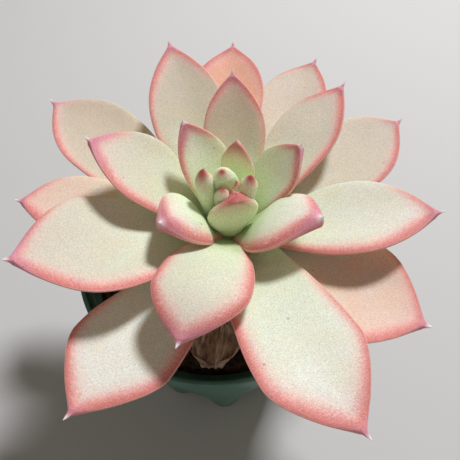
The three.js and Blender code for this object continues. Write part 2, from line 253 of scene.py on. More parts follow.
class Wire:
    """A number that changes over a surface: an output socket with arithmetic on it."""

    def __init__(self, graph: "Graph", socket: bpy.types.NodeSocket) -> None:
        """Wraps a socket of a graph."""
        self.graph = graph
        self.socket = socket

    def __add__(self, other: Number) -> "Wire":
        """Sum."""
        return self.graph.maths("ADD", self, other)

    def __radd__(self, other: Number) -> "Wire":
        """Sum, from the right."""
        return self.graph.maths("ADD", other, self)

    def __sub__(self, other: Number) -> "Wire":
        """Difference."""
        return self.graph.maths("SUBTRACT", self, other)

    def __rsub__(self, other: Number) -> "Wire":
        """Difference, from the right."""
        return self.graph.maths("SUBTRACT", other, self)

    def __mul__(self, other: Number) -> "Wire":
        """Product."""
        return self.graph.maths("MULTIPLY", self, other)

    def __truediv__(self, other: Number) -> "Wire":
        """Quotient."""
        return self.graph.maths("DIVIDE", self, other)

    def eased(self, low: float, high: float) -> "Wire":
        """0 below low, 1 above high and an S curve between them. low above high turns it round."""
        node = self.graph.add(
            "ShaderNodeMapRange",
            {"interpolation_type": "SMOOTHSTEP"},
            {"Value": self, "From Min": min(low, high), "From Max": max(low, high),
             "To Min": float(low > high), "To Max": float(low <= high)},
        )
        return Wire(self.graph, node.outputs["Result"])


class Graph:
    """The node tree of one material, ending in a Principled shader."""

    def __init__(self, name: str) -> None:
        """Starts an empty tree on a new material of that name."""
        self.material = bpy.data.materials.new(name)
        self.material.use_nodes = True
        self.tree = self.material.node_tree
        self.tree.nodes.clear()

    def add(self, kind: str, settings: dict, inputs: dict) -> bpy.types.Node:
        """Adds a node.

        Args:
            kind: the node's type.
            settings: its properties, set first.
            inputs: for each socket's name or number, a Wire, a socket or a plain value.

        Returns:
            The node.
        """
        node = self.tree.nodes.new(kind)
        for name, value in settings.items():
            setattr(node, name, value)
        for name, value in inputs.items():
            if isinstance(value, Wire):
                value = value.socket
            if isinstance(value, bpy.types.NodeSocket):
                self.tree.links.new(value, node.inputs[name])
            else:
                node.inputs[name].default_value = value
        return node

    def maths(self, operation: str, first: Number, second: Number) -> Wire:
        """One Math node on two numbers."""
        node = self.add("ShaderNodeMath", {"operation": operation}, {0: first, 1: second})
        return Wire(self, node.outputs[0])

    def attribute(self, name: str) -> list[Wire]:
        """The x, y and z of a vector attribute of the mesh."""
        node = self.add("ShaderNodeAttribute", {"attribute_name": name}, {})
        parts = self.add("ShaderNodeSeparateXYZ", {}, {0: node.outputs["Vector"]})
        return [Wire(self, socket) for socket in parts.outputs]

    def place(self) -> bpy.types.NodeSocket:
        """The place on the piece, in metres."""
        return self.add("ShaderNodeTexCoord", {}, {}).outputs["Object"]

    def vector(self, x: Number, y: Number, z: Number) -> bpy.types.NodeSocket:
        """A vector from three numbers."""
        return self.add("ShaderNodeCombineXYZ", {}, {0: x, 1: y, 2: z}).outputs[0]

    def noise(self, where: bpy.types.NodeSocket, scale: float, detail: float = 2.0,
              rough: float = 0.5) -> Wire:
        """Cloudy noise from 0 to 1, about 0.5, with that many waves to a unit of the vector."""
        node = self.add("ShaderNodeTexNoise", {},
                        {"Vector": where, "Scale": scale, "Detail": detail, "Roughness": rough})
        return Wire(self, node.outputs["Fac"])

    def cells(self, where: bpy.types.NodeSocket, scale: float) -> tuple[Wire, bpy.types.NodeSocket]:
        """Cells scattered at random: the distance to the nearest one's middle, and its colour."""
        node = self.add("ShaderNodeTexVoronoi", {}, {"Vector": where, "Scale": scale})
        return Wire(self, node.outputs["Distance"]), node.outputs["Color"]

    def mix(self, share: Number, first: object, second: object) -> bpy.types.NodeSocket:
        """A colour between two: first where share is 0 and second where it is 1."""
        node = self.add("ShaderNodeMix", {"data_type": "RGBA"}, {0: share, 6: first, 7: second})
        return node.outputs[2]

    def shaded(self, colour: object, amount: Number) -> bpy.types.NodeSocket:
        """A colour times a number."""
        grey = self.vector(amount, amount, amount)
        node = self.add("ShaderNodeVectorMath", {"operation": "MULTIPLY"}, {0: colour, 1: grey})
        return node.outputs[0]

    def bump(self, height: Number, depth: float) -> bpy.types.NodeSocket:
        """A normal tilted by a relief: height from 0 to 1, depth in millimetres."""
        return self.add("ShaderNodeBump", {}, {"Height": height, "Distance": depth * MM}).outputs[0]

    def finish(self, inputs: dict) -> bpy.types.Material:
        """Ends the tree in a Principled shader with these inputs and returns the material."""
        shader = self.add("ShaderNodeBsdfPrincipled", {}, inputs)
        self.add("ShaderNodeOutputMaterial", {}, {"Surface": shader.outputs[0]})
        return self.material


# Finishes


@dataclass(frozen=True)
class LeafFinish:
    """Waxy bloom on a fleshy blade: pale in the middle, coral at the margin, mauve at the point."""

    name: str = "waxy_leaf"
    cream: Colour = paint("F3F3E6")
    dull_cream: Colour = paint("E8E6D2")
    tan_and_shade: Colour = paint("CABAA0")
    mint: Colour = paint("CCE2AA")
    deep_green_and_shade: Colour = paint("8BA04C")
    peach: Colour = paint("EEAF90")
    coral: Colour = paint("E89488")
    deep_coral: Colour = paint("CB6560")
    rim: Colour = paint("F6C2B8")
    mauve: Colour = paint("DC93A2")
    point: Colour = paint("FBEFF2")
    rose: Colour = paint("E2A493")
    red: Colour = paint("BE4650")
    under: Colour = paint("E2E6C0")
    speck: Colour = paint("A85B5A")
    translucency: float = 0.35
    scatter: float = 4.0
    bleed: Colour = (1.0, 0.85, 0.4)

    def material(self) -> bpy.types.Material:
        """Makes the material.

        The mesh gives four vectors: skin is the way along the leaf in mm, the distance to the
        margin in mm and 1 on the upper face; hue is how green, how peachy and how tanned the leaf
        is, the tanning also darkening some leaves as painted shade; margin is the width of its
        coloured band in mm, how scuffed it is, which paints pale highlights as well as gloss, and
        how red its young tip is; whole is the leaf's length in mm, how far the tip's colour
        reaches and a seed.

        Returns:
            The material.
        """
        g = Graph(self.name)
        along, edge, upper = g.attribute("skin")
        green, blush, tan_and_shade = g.attribute("hue")
        band, scuff_and_highlight, red_tip = g.attribute("margin")
        length, flush, seed = g.attribute("whole")
        share = along / length
        tip = length - along
        where = g.place()
        grain = g.noise(where, 2400, 3, 0.6)
        cloud = g.noise(where, 120, 4, 0.55)
        streaks = g.noise(g.vector(along * 2.2, edge * 0.35, seed), 1.0, 3, 0.6)
        body = g.mix(cloud.eased(0.35, 0.68), self.cream, self.dull_cream)
        # Tanned beige on the older leaves is their own colour; on some leaves that face the key lamp it
        # also darkens them as painted shade.
        body = g.mix(tan_and_shade * (share + (cloud - 0.5) * 0.6).eased(0.1, 0.6), body, self.tan_and_shade)
        body = g.mix(blush * (share + (cloud - 0.5) * 0.8).eased(0.15, 0.7), body, self.peach)
        freshness = green * (share - red_tip * 0.35 + (cloud - 0.5) * 0.35).eased(0.95, 0.15)
        body = g.mix(freshness, body, self.mint)
        # Darker green towards the stem: the leaf's own green at its base, and painted shade where the
        # heart and the leaves above shade the base.
        base_green_and_shade = (green + 0.2) * (share * 2.6 + (cloud - 0.5) * 0.5).eased(1.0, 0.1)
        body = g.mix(base_green_and_shade, body, self.deep_green_and_shade)
        body = g.mix((1 - upper) * 0.6, body, self.under)
        reach = edge / band + (streaks - 0.5) * 0.6 + (grain - 0.5) * 0.25
        calm = band.eased(1.2, 3.0)
        body = g.mix(reach.eased(2.1, 0.5) * 0.5 * calm, body, self.rim)
        body = g.mix(reach.eased(1.2, 0.25) * 0.9 * calm, body, self.coral)
        body = g.mix(reach.eased(0.6, 0.0) * 0.65 * calm, body, self.deep_coral)
        away = (1 - share + edge * 0.015 + (cloud - 0.5) * 0.1) / flush
        body = g.mix(red_tip * away.eased(0.46, 0.14) * 0.45, body, self.rose)
        body = g.mix(red_tip * away.eased(0.24, 0.05) * 0.95, body, self.red)
        body = g.mix(edge.eased(0.5, 0.15) * 0.55 * calm, body, self.rim)
        drawn = ((tip + edge * 0.9 + (cloud - 0.5) * 4) / flush).eased(9.0, 1.5)
        body = g.mix(drawn * (1 - red_tip) * 0.85, body, self.mauve)
        body = g.mix(tip.eased(2.6, 0.8) * (1 - red_tip), body, self.point)
        near, which = g.cells(where, 260)
        chosen = Wire(g, g.add("ShaderNodeSeparateColor", {}, {0: which}).outputs[0]).eased(0.9, 0.93)
        body = g.mix(chosen * near.eased(0.15, 0.05) * 0.5, body, self.speck)
        # Worn patches along the margin: glossier where the bloom is worn off, and painted highlights
        # there in the pale point colour.
        rubs = g.noise(g.vector(along * 0.22, edge * 1.1, seed * 5), 1.0, 3, 0.6)
        rubbed_highlight = scuff_and_highlight * rubs.eased(0.6, 0.68) * (edge / band).eased(1.4, 0.9) * edge.eased(0.4, 0.9)
        body = g.mix(rubbed_highlight, body, self.point)
        bloom = 0.99 + (grain - 0.5) * 0.95 + (cloud - 0.5) * 0.3
        relief = grain * 0.7 + g.noise(where, 330, 2) * 0.9 + streaks * 0.3
        return g.finish({
            "Base Color": g.shaded(body, bloom),
            "Roughness": 0.58 + (cloud - 0.5) * 0.25 - rubbed_highlight * 0.3,
            "Normal": g.bump(relief, 0.08),
            "Subsurface Weight": self.translucency,
            "Subsurface Radius": self.bleed,
            "Subsurface Scale": self.scatter * MM,
            "Specular IOR Level": 0.35,
            "Sheen Weight": 0.05,
            "Sheen Roughness": 0.5,
        })


YOUNG_LEAF = LeafFinish(
    name="young_leaf",
    cream=paint("F6F7E8"),
    mint=paint("DDF0B8"),
    deep_green_and_shade=paint("A9C56C"),
    under=paint("EAF3CC"),
    translucency=0.6,
    scatter=4.0,
    bleed=(0.7, 1.0, 0.35),
)


@dataclass(frozen=True)
class StemFinish:
    """Fleshy stem, green under the leaves and corky brown near the soil."""

    name: str = "fleshy_stem"
    green: Colour = paint("8E9A5E")
    brown: Colour = paint("7A6149")
    scar: Colour = paint("B29B7C")
    low: float = 88.0
    high: float = 99.0

    def material(self) -> bpy.types.Material:
        """Makes the material: cork below a wandering line, green above it, paler scars."""
        g = Graph(self.name)
        scar, _, _ = g.attribute("scar")
        where = g.place()
        parts = g.add("ShaderNodeSeparateXYZ", {}, {0: where})
        height = Wire(g, parts.outputs["Z"]) / MM
        cloud = g.noise(where, 300, 4)
        colour = g.mix((height + (cloud - 0.5) * 8).eased(self.low, self.high), self.brown, self.green)
        colour = g.mix(scar * 0.7, colour, self.scar)
        return g.finish({
            "Base Color": g.shaded(colour, 0.7 + cloud * 0.6),
            "Roughness": 0.75 + (cloud - 0.5) * 0.2,
            "Normal": g.bump(cloud, 0.4),
        })


@dataclass(frozen=True)
class PotFinish:
    """Dark blue-green moulded plastic, lightly scuffed, with patches of dust."""

    name: str = "moulded_plastic"
    plastic: Colour = paint("3B6A5C")
    pale: Colour = paint("789C87")
    dust: Colour = paint("7C7A6A")

    def material(self) -> bpy.types.Material:
        """Makes the material: fine moulding grain, scuffs that run round the pot, and dust."""
        g = Graph(self.name)
        where = g.place()
        x, y, z = (Wire(g, s) for s in g.add("ShaderNodeSeparateXYZ", {}, {0: where}).outputs)
        cloud = g.noise(where, 60, 4)
        grain = g.noise(where, 2600, 1)
        turn = g.maths("ARCTAN2", y, x)
        scuffs = g.noise(g.vector(turn * 3, z * 900, 0.0), 1.0, 4, 0.65)
        marks = scuffs.eased(0.6, 0.78) * cloud.eased(0.4, 0.65)
        colour = g.mix(cloud.eased(0.3, 0.75) * 0.35 + marks * 0.4, self.plastic, self.pale)
        crumbs = g.noise(where, 420, 4, 0.7)
        colour = g.mix(crumbs.eased(0.62, 0.8) * 0.35, colour, self.dust)
        return g.finish({
            "Base Color": colour,
            "Roughness": 0.36 + (cloud - 0.5) * 0.18 + marks * 0.2,
            "Normal": g.bump(grain * 0.4 + scuffs * 0.6, 0.05),
            "Specular IOR Level": 0.5,
        })


@dataclass(frozen=True)
class BarkFinish:
    """Damp bark: dark crumbs and brown chips with their grain running one way."""

    name: str
    dark: Colour
    light: Colour
    stretch: float

    def material(self) -> bpy.types.Material:
        """Makes the material: streaks by noise squeezed along one axis, darker in the hollows."""
        g = Graph(self.name)
        where = g.place()
        squeezed = g.add("ShaderNodeMapping", {}, {"Vector": where, "Scale": (1, self.stretch, 1)})
        streaks = g.noise(squeezed.outputs[0], 500, 4, 0.65)
        cloud = g.noise(where, 130, 3)
        colour = g.mix((streaks * 0.6 + cloud * 0.5).eased(0.4, 0.75), self.dark, self.light)
        return g.finish({
            "Base Color": colour,
            "Roughness": 0.86 + (cloud - 0.5) * 0.2,
            "Normal": g.bump(streaks, 0.5),
            "Specular IOR Level": 0.25,
        })


@dataclass(frozen=True)
class DryFinish:
    """A withered leaf: papery grey brown, streaked, with painted light and shade on its ridges, pale
    where it is torn.
    """

    name: str = "withered_leaf"
    valley: Colour = paint("6B4E3B")
    body: Colour = paint("BFA387")
    crest: Colour = paint("E8D7C0")
    rim: Colour = paint("D9C7B1")

    def material(self) -> bpy.types.Material:
        """Makes the material. The mesh gives skin: mm along, mm across, and height of the ridge.

        Its vector end holds the distance to the torn edge in mm.
        """
        g = Graph(self.name)
        along, across, ridge = g.attribute("skin")
        edge, _, _ = g.attribute("end")
        where = g.place()
        streaks = g.noise(g.vector(along * 0.3, across * 1.5, 0.0), 1.0, 4, 0.65)
        cloud = g.noise(where, 260, 4, 0.6)
        # The fold term paints crests paler and valleys darker: painted light and shade on the leaf's own
        # streaked brown.
        streak_and_fold_shade = ridge * 0.35 + streaks * 0.55 + cloud * 0.55
        colour = g.mix(streak_and_fold_shade.eased(0.35, 0.75), self.valley, self.body)
        colour = g.mix(streak_and_fold_shade.eased(0.72, 1.05), colour, self.crest)
        colour = g.mix((edge + (cloud - 0.5) * 3.0).eased(0.8, 0.1) * 0.8, colour, self.rim)
        return g.finish({
            "Base Color": colour,
            "Roughness": 0.8 + (cloud - 0.5) * 0.2,
            "Normal": g.bump(streaks * 0.8 + cloud * 1.2, 0.5),
        })


# Stem


@dataclass(frozen=True)
class Stem:
    """The short stem. The leaf of each order grows at its own radius and height on it."""

    x: float = 4.5
    y: float = 4.5
    rim_height: float = 94.0
    top: float = 13.0
    cone: float = 5.0
    cone_reach: float = 6.0
    tip_radius: float = 2.6
    growth: float = 8.2
    steps: float = 10.0
    neck_radius: float = 8.5
    skin_depth: float = 0.4
    foot: float = 64.0
    foot_round: float = 3.0
    soil_top: float = 86.0
    fall: float = 0.25
    droop: float = 0.012
    orders: tuple[int, ...] = (1, 3, 5, 8, 13, 20, 28)
    scar_orders: tuple[int, int] = (24, 44)
    scar_top: float = 98.0
    scar_step: float = 0.55
    scar_reach: float = 0.42
    scar_thick: float = 0.5
    scar_bend: float = 1.5
    scar_height: float = 0.45
    relief: float = 0.25
    relief_size: float = 4.0
    rings: int = 150
    sides: int = 96

    def radius(self, order: float) -> float:
        """Radius where a leaf grows: it nears its full girth by 1 - e to the minus order / steps."""
        return self.tip_radius + self.growth * (1 - math.exp(-order / self.steps))

    def height(self, order: float) -> float:
        """Height where a leaf grows: a parabola down the order, with a small cone on its top."""
        cone = self.cone * math.exp(-((order / self.cone_reach) ** 2))
        return self.rim_height + self.top + cone - self.fall * order - self.droop * order * order

    def build(self) -> bpy.types.Object:
        """Makes the stem: its profile turned round, with leaf scars raised in a spiral.

        Each scar is a low crescent, a bell curve of the angle and the height about its place.

        Returns:
            The piece, in place of the plain stem.
        """
        heights = [self.height(n) for n in self.orders]
        radii = [self.radius(n) - self.skin_depth for n in self.orders]
        profile_z = [self.height(0), *heights, self.soil_top + self.foot_round]
        profile_r = [self.tip_radius * 0.6, *radii, self.neck_radius]
        z = np.linspace(self.height(0), self.foot, self.rings)
        r = np.interp(z[::-1], profile_z[::-1], profile_r[::-1])[::-1]
        round_off = np.clip((z - self.foot) / self.foot_round, 0, 1)
        r = r - self.foot_round * (1 - np.sqrt(1 - (1 - round_off) ** 2))
        angle = np.arange(self.sides) / self.sides * TAU
        scar = np.zeros((self.rings, self.sides))
        for order in range(*self.scar_orders):
            turn = math.radians(FIRST_TURN + GOLDEN_TURN * (order - 1))
            middle = self.scar_top - self.scar_step * (order - self.scar_orders[0])
            off = np.angle(np.exp(1j * (angle - turn)))
            above = z[:, None] - middle - off**2 * self.scar_bend
            scar += np.exp(-((off / self.scar_reach) ** 2) - (above / self.scar_thick) ** 2)
        radius = r[:, None] + self.scar_height * np.clip(scar, 0, 1)
        grid = stacked(self.x + radius * np.cos(angle), self.y + radius * np.sin(angle), z[:, None])
        grid[..., :2] += self.relief * Grain(5).layered(grid / self.relief_size, 2)[..., None]
        values = {"scar": np.repeat(np.clip(scar, 0, 1)[..., None], 3, axis=-1)}
        skin = Skin.over_rings(grid, values)
        made = piece("stem_skin", skin.mesh("stem_skin"), StemFinish().material())
        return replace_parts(made, "stem")


# Leaves


@dataclass(frozen=True)
class Form:
    """How a leaf is shaped along its length and across it."""

    neck: float = 0.34
    belly: float = 0.6
    tail: float = 0.035
    blunt: float = 1.9
    point_width: float = 0.1
    edge_thick: float = 0.6
    upper_share: float = 0.36
    lip: float = 0.2
    crown: float = -0.2
    crown_power: float = 2.0
    hook: float = 18.0
    fullness: float = 2.3
    rings: int = 110
    sides: int = 72


YOUNG = Form(neck=0.9, belly=0.45, blunt=2.6, edge_thick=0.96, upper_share=0.5, lip=0.0, crown=0.0,
             fullness=2.0, rings=90, sides=64)
BOWL = replace(YOUNG, neck=0.5, belly=0.5, blunt=2.3, hook=4.0, lip=0.06)
BROAD = Form(neck=0.5, belly=0.5, blunt=2.2)
STOUT = replace(BROAD, edge_thick=0.9, crown=0.14, crown_power=2.6, fullness=2.0)
FULL = Form(belly=0.56, blunt=2.1)
LONG = Form(belly=0.65, blunt=2.4)
ARCHED = Form(belly=0.67, blunt=1.5, lip=0.14, crown=-0.14)
ROLLED = replace(ARCHED, neck=0.5, belly=0.62, blunt=1.7, crown=0.08, crown_power=2.6)
STRAP = replace(ARCHED, neck=0.6)
TINY = Form(neck=0.8, belly=0.5, blunt=2.6, edge_thick=0.95, upper_share=0.5, lip=0.0, crown=0.0,
            hook=0.0, fullness=2.0, rings=50, sides=40)


@dataclass(frozen=True)
class Leaf:
    """One leaf: its place on the spiral, its size, its bend and its colouring."""

    order: int
    lean: float
    length: float
    width: float
    rise: tuple[float, float]
    sweep: float = 0.0
    bow: float = 0.0
    thick: float = 0.0
    form: Form = Form()
    blush: float = 0.08
    tan_and_shade: float = 0.0
    band: float = 3.2
    scuff_and_highlight: float = 0.15
    flush: float = 1.0

    END = 0.996

    def turn(self) -> float:
        """Where it points, in radians from +X: the golden angle between neighbours, and its lean."""
        return math.radians(FIRST_TURN + GOLDEN_TURN * (self.order - 1) + self.lean)

    def green(self) -> float:
        """How fresh it is: 1 in the heart, fading with the order."""
        return 0.22 + 0.78 * math.exp(-((max(self.order, 0) / 12) ** 2))

    def half_width(self, share: Array) -> Array:
        """Share of the half width along the leaf.

        It widens from the neck to the belly by a power of a sine, draws in as a pointed arch, a
        power of the way past the belly that starts softly, and runs out in a fine point. Body and
        point are joined by a 2.5-norm.

        Args:
            share: places along the leaf, from 0 to 1.

        Returns:
            The share of the half width at each place.
        """
        f = self.form
        rising = f.neck + (1 - f.neck) * np.sin(np.pi / 2 * np.clip(share / f.belly, 0, 1)) ** 1.5
        past = np.clip((share - f.belly) / (1 - f.tail - f.belly), 0, 1)
        soft = 0.2
        drop = (past**2 + soft**2) ** (f.blunt / 2) - soft**f.blunt
        falling = 1 - drop / ((1 + soft**2) ** (f.blunt / 2) - soft**f.blunt)
        body = np.where(share < f.belly, rising, falling)
        point = f.point_width * np.minimum(1.5, (1 - share) / (2.2 * f.tail))
        return (body**2.5 + point**2.5) ** 0.4

    def midrib(self, share: Array) -> tuple[Array, Array, Array]:
        """The midrib as a bent line in the upright plane of the turn.

        Its slope goes evenly from rise[0] to rise[1] and hooks up at the end; the way out and up
        is the running sum of the slope's cosine and sine.

        Args:
            share: places along the leaf, from 0 to 1.

        Returns:
            How far out, how far up and the slope in radians at each place.
        """
        fine = np.linspace(0, 1, 2001)
        bend = self.rise[0] + (self.rise[1] - self.rise[0]) * fine
        slope = np.radians(bend + self.form.hook * smooth(0.86, 1, fine))
        step = self.length / (len(fine) - 1)
        middle = (slope[1:] + slope[:-1]) / 2
        out = np.concatenate([[0], np.cumsum(np.cos(middle) * step)])
        up = np.concatenate([[0], np.cumsum(np.sin(middle) * step)])
        return tuple(np.interp(share, fine, line) for line in (out, up, slope))

    def skin(self, radius: float, height: float, x: float, y: float) -> Skin:
        """The leaf's surface, with the values that its finish reads.

        Rings of a flattened oval stand across the midrib, denser to the point. The oval is a
        superellipse, so the margin is a round lip. It is cupped or crowned by a power of the way
        across, and a shallow random relief runs over it.

        Args:
            radius: how far from the stem's axis the midrib starts.
            height: how high it starts.
            x: the stem's axis.
            y: the stem's axis.

        Returns:
            The closed skin.
        """
        f = self.form
        step = np.linspace(0, 1, f.rings)
        share = (1 - (1 - step) ** 1.25) * self.END
        out, up, slope = self.midrib(share)
        outward, sideways = turned(self.turn())
        upward = np.array([0.0, 0.0, 1.0])
        centre = np.array([x, y, height]) + np.outer(out + radius, outward) + np.outer(up, upward)
        normal = np.outer(-np.sin(slope), outward) + np.outer(np.cos(slope), upward)
        wide = self.width / 2 * self.half_width(share)
        full_thick = self.thick or 2.6 + 2.6 * min(1, self.length / 60)
        swell = np.sin(np.pi * np.clip(share / 0.9, 0, 1) ** 0.8)
        thick = np.minimum(full_thick * (f.edge_thick + (1 - f.edge_thick) * swell), 1.9 * wide)
        angle = np.arange(f.sides) / f.sides * TAU
        across = np.sign(np.cos(angle)) * np.abs(np.cos(angle)) ** (2 / f.fullness)
        lift = np.sign(np.sin(angle)) * np.abs(np.sin(angle)) ** (2 / f.fullness)
        part = np.where(lift > 0, f.upper_share, 1 - f.upper_share)
        grain = Grain(100 + self.order)
        along_mm = share * self.length
        places = stacked(along_mm[:, None] / 14, wide[:, None] * across / 9, 0.0)
        relief = 0.3 * grain.at(places) * smooth(0, 0.25, share)[:, None]
        margins = stacked(along_mm[:, None] / 9, np.sign(across) * 3.5, 0.5)
        wobble = 1 + 0.02 * grain.at(margins)
        reach = wide[:, None] * across * wobble
        side = self.length * (self.sweep * share**2 + self.bow * np.sin(np.pi * share))
        bent = f.lip + f.crown * (1 - np.abs(across) ** f.crown_power)
        depth = thick[:, None] * part * lift + (wide * smooth(0, 0.5, share))[:, None] * bent + relief
        grid = (centre[:, None, :] + sideways * (side[:, None] + reach)[..., None]
                + normal[:, None, :] * depth[..., None])
        return Skin.over_rings(grid, self.values(share, wide, across, lift))

    def values(self, share: Array, wide: Array, across: Array, lift: Array) -> dict[str, Array]:
        """What the finish reads at each point of the rings.

        Args:
            share: places of the rings along the leaf.
            wide: half width of each ring.
            across: way across of each side, from -1 to 1.
            lift: height of each side in its ring, from -1 to 1.

        Returns:
            The vectors skin, hue, margin and whole, as LeafFinish.material gives them.
        """
        shape = (len(share), len(across))
        edge = wide[:, None] * (1 - np.abs(across))
        upper = smooth(-0.35, 0.2, lift)
        # The coloured band is widened on the margin that faces the front, away from the key lamp: painted
        # shade on the leaf's own coral margin.
        front_margin_shade = -turned(self.turn())[1][1] * across
        along = 0.5 + 0.4 * smooth(0.15, 0.6, share) + 1.1 * smooth(0.62, 0.97, share)
        band = self.band * along[:, None] * (0.95 + 0.55 * front_margin_shade)
        band = band * (1 + 0.9 * (1 - upper))
        red = math.exp(-((max(self.order, 0) / 7) ** 10))

        def together(*parts: Array | float) -> Array:
            """Three values over the rings as one vector for each point."""
            return np.stack([np.broadcast_to(part, shape) for part in parts], axis=-1)

        return {
            "skin": together((share * self.length)[:, None], edge, upper),
            "hue": together(self.green(), self.blush, self.tan_and_shade),
            "margin": together(band, self.scuff_and_highlight, red),
            "whole": together(self.length, self.flush, self.order * 0.37),
        }


@dataclass(frozen=True)
class YoungLeaf(Leaf):
    """An upright leaf beside the heart, whose colour has no band along the margin."""

    form: Form = YOUNG
    blush: float = 0.0
    band: float = 0.3
    scuff_and_highlight: float = 0.0


# Youngest first. From order 6 on, lean to bow are a solver's fit to the photo's outlines, rounded.
LEAVES = [
    YoungLeaf(1, 6, 22, 10.5, (80, 106), 0.06, thick=6.2, flush=0.5),
    YoungLeaf(3, -3, 21.5, 9, (73, 84), thick=6.2, flush=0.85),
    YoungLeaf(4, 27, 26, 9, (74, 90), thick=6.4, flush=0.9),
    Leaf(5, -1, 19.5, 18, (78, 106), 0.11, thick=6, flush=1.2, form=BOWL, scuff_and_highlight=0.0, band=0.5, blush=0.8),
    Leaf(6, 6, 29, 12.5, (66, 76), 0.08, -0.02, blush=0.0, scuff_and_highlight=0.0, band=0.7, flush=1.5),
    Leaf(7, 10, 30, 25, (41, 48), 0.09, -0.04, band=3.6, scuff_and_highlight=0.35, thick=6, form=STOUT, flush=1.2),
    Leaf(8, -8, 36, 27, (35, 43), 0.09, -0.01, band=3.8, scuff_and_highlight=0.7, thick=6, form=STOUT, flush=1.2),
    Leaf(9, 6, 38, 19, (55, 61), 0.06, -0.04, form=BROAD, blush=0.1, band=2.4, flush=1.6),
    Leaf(10, 4, 52.5, 31, (42, -10), -0.04, 0.02, band=4.6, scuff_and_highlight=0.3, form=ROLLED, flush=1.5, tan_and_shade=0.35),
    Leaf(11, -5, 38, 20.5, (51, 60), 0, 0.03, band=2.6, scuff_and_highlight=0.4, flush=1.3),
    Leaf(12, -1, 54, 29, (38, 34), -0.06, -0.05, form=FULL, band=3.2, scuff_and_highlight=0.35, flush=1.9, tan_and_shade=0.5),
    Leaf(13, -4, 80, 35, (19, 2), -0.11, -0.06, form=STRAP, band=4.2, scuff_and_highlight=0.05),
    Leaf(14, 3, 54.5, 23.5, (38, 42), 0.03, -0.02, form=FULL, blush=0.15, tan_and_shade=0.9, band=2.3, flush=1.3),
    Leaf(15, -16, 70.5, 40, (24, 13), -0.05, -0.01, band=3.8, scuff_and_highlight=0.05, flush=1.7, tan_and_shade=0.5),
    Leaf(16, -4, 69, 31, (24, 12), 0, -0.01, form=FULL, tan_and_shade=0.1, band=3.4, scuff_and_highlight=0.1),
    Leaf(17, -24, 74.5, 30.5, (29, 28), -0.04, form=FULL, band=2.4, tan_and_shade=0.75, flush=1.2),
    Leaf(19, -4, 69.5, 25.5, (24, 24), 0.04, 0.01, band=2.6, tan_and_shade=0.5),
    Leaf(20, -7, 70, 27, (19, 12), -0.04, -0.03, form=LONG, blush=0.4, tan_and_shade=0.4, band=3.0),
    Leaf(21, 1, 70, 42, (13, 4), 0, -0.02, blush=0.5, tan_and_shade=0.25, band=3.8, scuff_and_highlight=0.05),
    Leaf(22, -12, 82, 31.5, (19, 20), -0.05, 0.02, form=LONG, blush=0.95, tan_and_shade=0.4, band=2.6),
    Leaf(23, 1, 76, 36, (12, 3), -0.1, -0.03, form=ARCHED, blush=0.1, band=4.0, scuff_and_highlight=0.05),
    Leaf(24, 8, 78, 33.5, (15, 16), 0.11, 0.01, form=LONG, tan_and_shade=0.55, band=2.1),
    Leaf(25, -5, 85, 35, (16, 18), -0.11, -0.04, form=LONG, tan_and_shade=0.85, band=1.9),
    Leaf(27, -10, 86, 29.5, (17, 18), 0.06, 0.04, form=LONG, blush=0.15, tan_and_shade=0.45, band=1.8),
]


@dataclass(frozen=True)
class HeartLeaf(YoungLeaf):
    """A narrow leaf at the growing point: fresh green, with only its tip red."""

    form: Form = TINY


@dataclass
class Rosette:
    """All the leaves that can be told apart, and the heart in their middle."""

    stem: Stem
    seat_depth: float = 0.8
    heart_radius: float = 1.7
    heart_lift: float = 0.8
    dome_radius: float = 2.6
    dome_height: float = 3.2
    dome_sink: float = 0.4
    fresh: tuple[int, ...] = (1, 3, 4, 5, 6, 9, 11)
    heart_leaves: tuple[Leaf, ...] = (
        HeartLeaf(2, 2, 15.5, 7.4, (74, 98), thick=4.4, flush=0.7),
        HeartLeaf(0, -12, 14.5, 4.4, (80, 96), thick=3.2),
        HeartLeaf(-1, 0, 13, 3.8, (82, 94), thick=2.8),
        HeartLeaf(-2, -6, 14.5, 5, (70, 94), thick=3.4),
        HeartLeaf(-3, 0, 12, 3, (86, 94), thick=2.2),
        HeartLeaf(-4, 0, 11.5, 2.6, (86, 94), thick=2),
    )

    def build(self) -> None:
        """Makes a piece for each leaf and one for the heart."""
        grown, young = LeafFinish().material(), YOUNG_LEAF.material()
        for number, leaf in enumerate(LEAVES, start=1):
            radius = self.stem.radius(leaf.order) - self.seat_depth
            skin = leaf.skin(radius, self.stem.height(leaf.order), self.stem.x, self.stem.y)
            name = f"leaf_{number:02d}"
            finish = young if leaf.order in self.fresh else grown
            made = piece(f"{name}_blade", skin.mesh(f"{name}_blade"), finish)
            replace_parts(made, name)
        base = self.stem.height(0) + self.heart_lift
        skins = [leaf.skin(self.heart_radius, base, self.stem.x, self.stem.y)
                 for leaf in self.heart_leaves]
        skins.append(self.dome(base))
        made = piece("heart_leaves", Skin.joined(skins).mesh("heart_leaves"), young)
        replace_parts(made, "heart")

    def dome(self, base: float) -> Skin:
        """The growing point: half an egg, its radius the root of 1 minus the height squared."""
        turn = np.arange(32) / 32 * TAU
        rise = np.linspace(0, 0.995, 16)
        radius = self.dome_radius * np.sqrt(1 - rise**2)[:, None]
        up = base - self.dome_sink + self.dome_height * rise[:, None]
        grid = stacked(self.stem.x + radius * np.cos(turn), self.stem.y + radius * np.sin(turn), up)
        plain = {"skin": (9.0, 4.0, 1.0), "hue": (1.0, 0.0, 0.0), "margin": (0.3, 0.0, 0.0),
                 "whole": (90.0, 1.0, 0.0)}
        return Skin.over_rings(grid, {k: np.broadcast_to(v, grid.shape) for k, v in plain.items()})


# Pot


